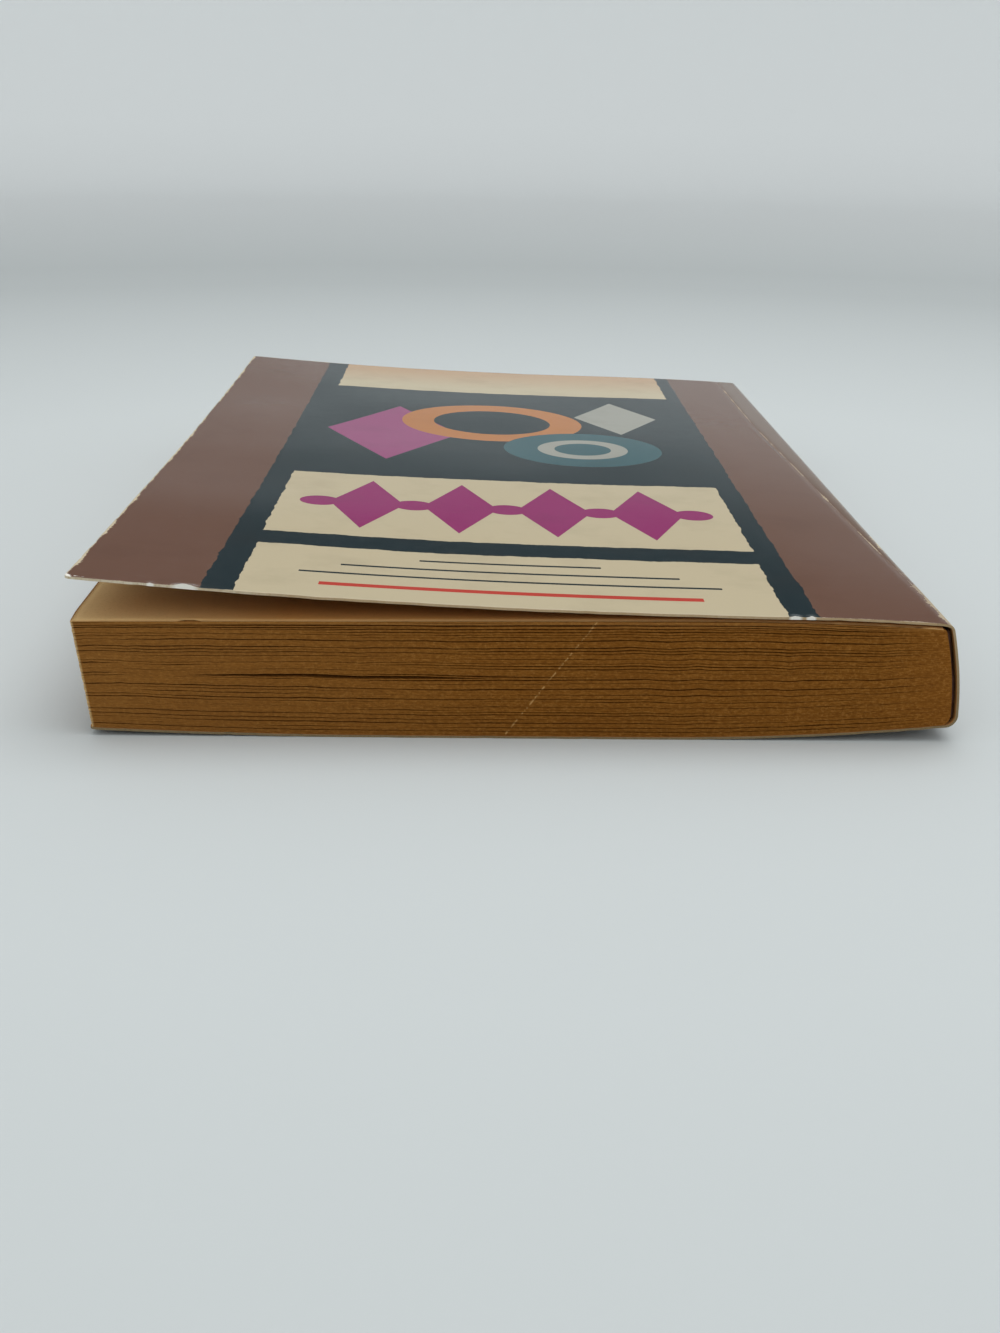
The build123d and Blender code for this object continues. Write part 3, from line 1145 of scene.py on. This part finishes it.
# Cut edge of the card: pale at the front fore corner, browner along the head, darker round the spine and
# along the back cover, which is painted shade
cardEdge = dict(
    ink=ink(216, 206, 184),
    washes=[
        ("fleck", 0.4, 0.75, 1.0, ink(190, 174, 144)),
        ("cloud", 0.42, 0.66, 0.5, ink(176, 154, 120)),
        ("x", -38.0 * mm, -28.0 * mm, 0.7, ink(164, 132, 88)),
    ],
    # mottled painted shade, deepening from the upper edge of the spine to the heel and along the back cover
    shadeFrom=upperPlace - 2.0 * mm,
    spineShade=(upperPlace - 1.0 * mm, lowerPlace, 0.3, 1.0),
    shadeFleck=(0.3, 0.7, 1.0, 0.75),
    shadeInk=ink(122, 106, 78),
    flakeShares=(0.9, 0.5),  # of a flake's half width, where its bared edge starts and is full
    specular=0.15,
    rough=0.9,
    bump=(0.5, 0.05 * mm),
)


def cardEdgeMaterial():
    look = cardEdge
    material, tree, shader, place = newMaterial("cardEdge", look, True)
    follows = paperFollows(tree, place)
    colour = washed(tree, look["ink"], follows, look["washes"])
    # painted shade round the spine and along the back cover
    shaded = spread(tree, follows["x"], *look["spineShade"])
    shaded = times(tree, shaded, spread(tree, follows["fleck"], *look["shadeFleck"]))
    onSpine = calc(tree, "GREATER_THAN", follows["x"], look["shadeFrom"])
    colour = cover(tree, times(tree, shaded, onSpine), colour, look["shadeInk"])
    atHead = calc(tree, "LESS_THAN", follows["y"], 0.0)
    for centre, high, wide in headFlakes:
        sideways = off(tree, follows["x"], centre)
        torn = spread(tree, sideways, *(share * wide for share in look["flakeShares"]))
        colour = cover(tree, times(tree, torn, atHead), colour, coverPrint["core"])
    feed(tree, shader, look, colour, follows["fleck"])
    return material


leaves = buildLeafBlock(pageEdgeMaterial(), paperMaterial("pageFace", pageFaces))
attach(leaves, "block")
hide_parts("pages")
print("leaves:", len(leaves.data.polygons), "faces")

glue = buildGlueLine(glueMaterial())
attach(glue, "block")
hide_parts("spine_glue")

cardMaterials = (printedCardMaterial(), paperMaterial("cardInside", cardInside, True), cardEdgeMaterial())
frontAndSpine = coverSheet["frontAcross"] + len(spineCurve) - 1
frontCover = buildSheet("frontCover", frontPoint, frontAndSpine, cardMaterials)
backCover = buildSheet("backCover", backPoint, coverSheet["backAcross"], cardMaterials)
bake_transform(frontCover)
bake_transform(backCover)
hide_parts("front_cover", "spine_cover")
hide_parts("back_cover")
for sheet in (frontCover, backCover):
    print(sheet.name, len(sheet.data.polygons), "faces")


# Studio: a pale sweep, soft light from above, camera where the photograph was taken
studio = dict(
    floorInk=ink(206, 212, 212),
    backInk=ink(186, 192, 192),
    wallInk=ink(240, 244, 244),
    nearFloor=(0.15, 0.42),  # where the floor changes, from the middle outwards
    farFloor=(0.5, 1.2),
    flagInk=ink(80, 83, 83),  # the top of the wall, above the picture, keeps the near gloss low
    flagUp=(0.25, 0.37),
    flagAhead=(0.6, 1.0),
    specular=0.3,
    rough=0.7,
    turn=1.05,  # where the floor starts to rise, all round
    turnRadius=0.25,
    tall=0.56,
    turnSteps=16,
    roundSteps=96,
    weld=0.01 * mm,
    skyInk=(0.97, 0.985, 1.0, 1.0),
    world=0.655,
    lamps=[  # name, place, power, size
        ("keyLamp", (0.16, 0.06, 0.85), 3.6, 0.9),
        ("fillLamp", (-0.4, -0.72, 0.44), 0.32, 0.4),
    ],
)
cameraSet = dict(
    lens=43.2,
    sensor=36.0,
    clip=(0.01, 20.0),
    place=(-5.9 * mm, -271.8 * mm, 75.3 * mm),
    pitch=math.radians(19.64),
    yaw=math.radians(-1.107),
    roll=math.radians(0.858),
)


def sweepMaterial():
    material, tree, shader, place = newMaterial("paleSweep", studio)
    away = put(tree, "ShaderNodeVectorMath", {0: place}, operation="LENGTH").outputs["Value"]
    x, y, z = put(tree, "ShaderNodeSeparateXYZ", {0: place}).outputs
    colour = cover(tree, spread(tree, away, *studio["nearFloor"]), studio["floorInk"], studio["backInk"])
    colour = cover(tree, spread(tree, away, *studio["farFloor"]), colour, studio["wallInk"])
    flag = times(tree, spread(tree, z, *studio["flagUp"]), spread(tree, y, *studio["flagAhead"]))
    colour = cover(tree, flag, colour, studio["flagInk"])
    feed(tree, shader, studio, colour)
    return material


def buildSweep():
    # a round floor that turns up into a low wall on every side
    bm = bmesh.new()
    profile = [(0.0, 0.0), (studio["turn"], 0.0)]
    for n in range(1, studio["turnSteps"] + 1):
        a = math.pi / 2 * n / studio["turnSteps"]
        profile.append((studio["turn"] + studio["turnRadius"] * math.sin(a),
                        studio["turnRadius"] * (1 - math.cos(a))))
    profile.append((studio["turn"] + studio["turnRadius"], studio["tall"]))
    line = [bm.verts.new((0, y, z)) for y, z in profile]
    edges = [bm.edges.new(pair) for pair in zip(line, line[1:])]
    bmesh.ops.spin(bm, geom=line + edges, cent=(0, 0, 0), axis=(0, 0, 1), angle=2 * math.pi,
                   steps=studio["roundSteps"], use_merge=True)
    bmesh.ops.remove_doubles(bm, verts=bm.verts, dist=studio["weld"])
    bmesh.ops.recalc_face_normals(bm, faces=bm.faces)
    if bm.faces[0].normal.z < 0:
        bmesh.ops.reverse_faces(bm, faces=bm.faces)
    for f in bm.faces:
        f.smooth = True
    sweep = addMesh("paleSweep", bm, (sweepMaterial(),))


def addLamp(name, place, power, size):
    lamp = bpy.data.lights.new(name, "AREA")
    lamp.shape = "DISK"
    lamp.size = size
    lamp.energy = power
    holder = addObject(name, lamp)
    holder.location = place
    holder.rotation_euler = (-Vector(place)).to_track_quat("-Z", "Y").to_euler()


def addCamera():
    camera = bpy.data.cameras.new("photoCamera")
    camera.lens = cameraSet["lens"]
    camera.sensor_width = cameraSet["sensor"]
    camera.clip_start, camera.clip_end = cameraSet["clip"]
    pitch, yaw, roll = cameraSet["pitch"], cameraSet["yaw"], cameraSet["roll"]
    ahead = Vector((-math.sin(yaw) * math.cos(pitch), math.cos(yaw) * math.cos(pitch), -math.sin(pitch)))
    right = Vector((math.cos(yaw), math.sin(yaw), 0.0))
    up = right.cross(ahead)
    right, up = (math.cos(roll) * right + math.sin(roll) * up,
                 math.cos(roll) * up - math.sin(roll) * right)
    holder = addObject("photoCamera", camera)
    turn = Matrix((right, up, -ahead)).transposed()
    holder.matrix_world = Matrix.Translation(cameraSet["place"]) @ turn.to_4x4()
    bpy.context.scene.camera = holder


buildSweep()
for lampSet in studio["lamps"]:
    addLamp(*lampSet)
world = bpy.data.worlds.new("softRoom")
world.use_nodes = True
world.node_tree.nodes["Background"].inputs[0].default_value = studio["skyInk"]
world.node_tree.nodes["Background"].inputs[1].default_value = studio["world"]
bpy.context.scene.world = world
addCamera()
bpy.context.scene.view_settings.view_transform = "Standard"
print("studio set")
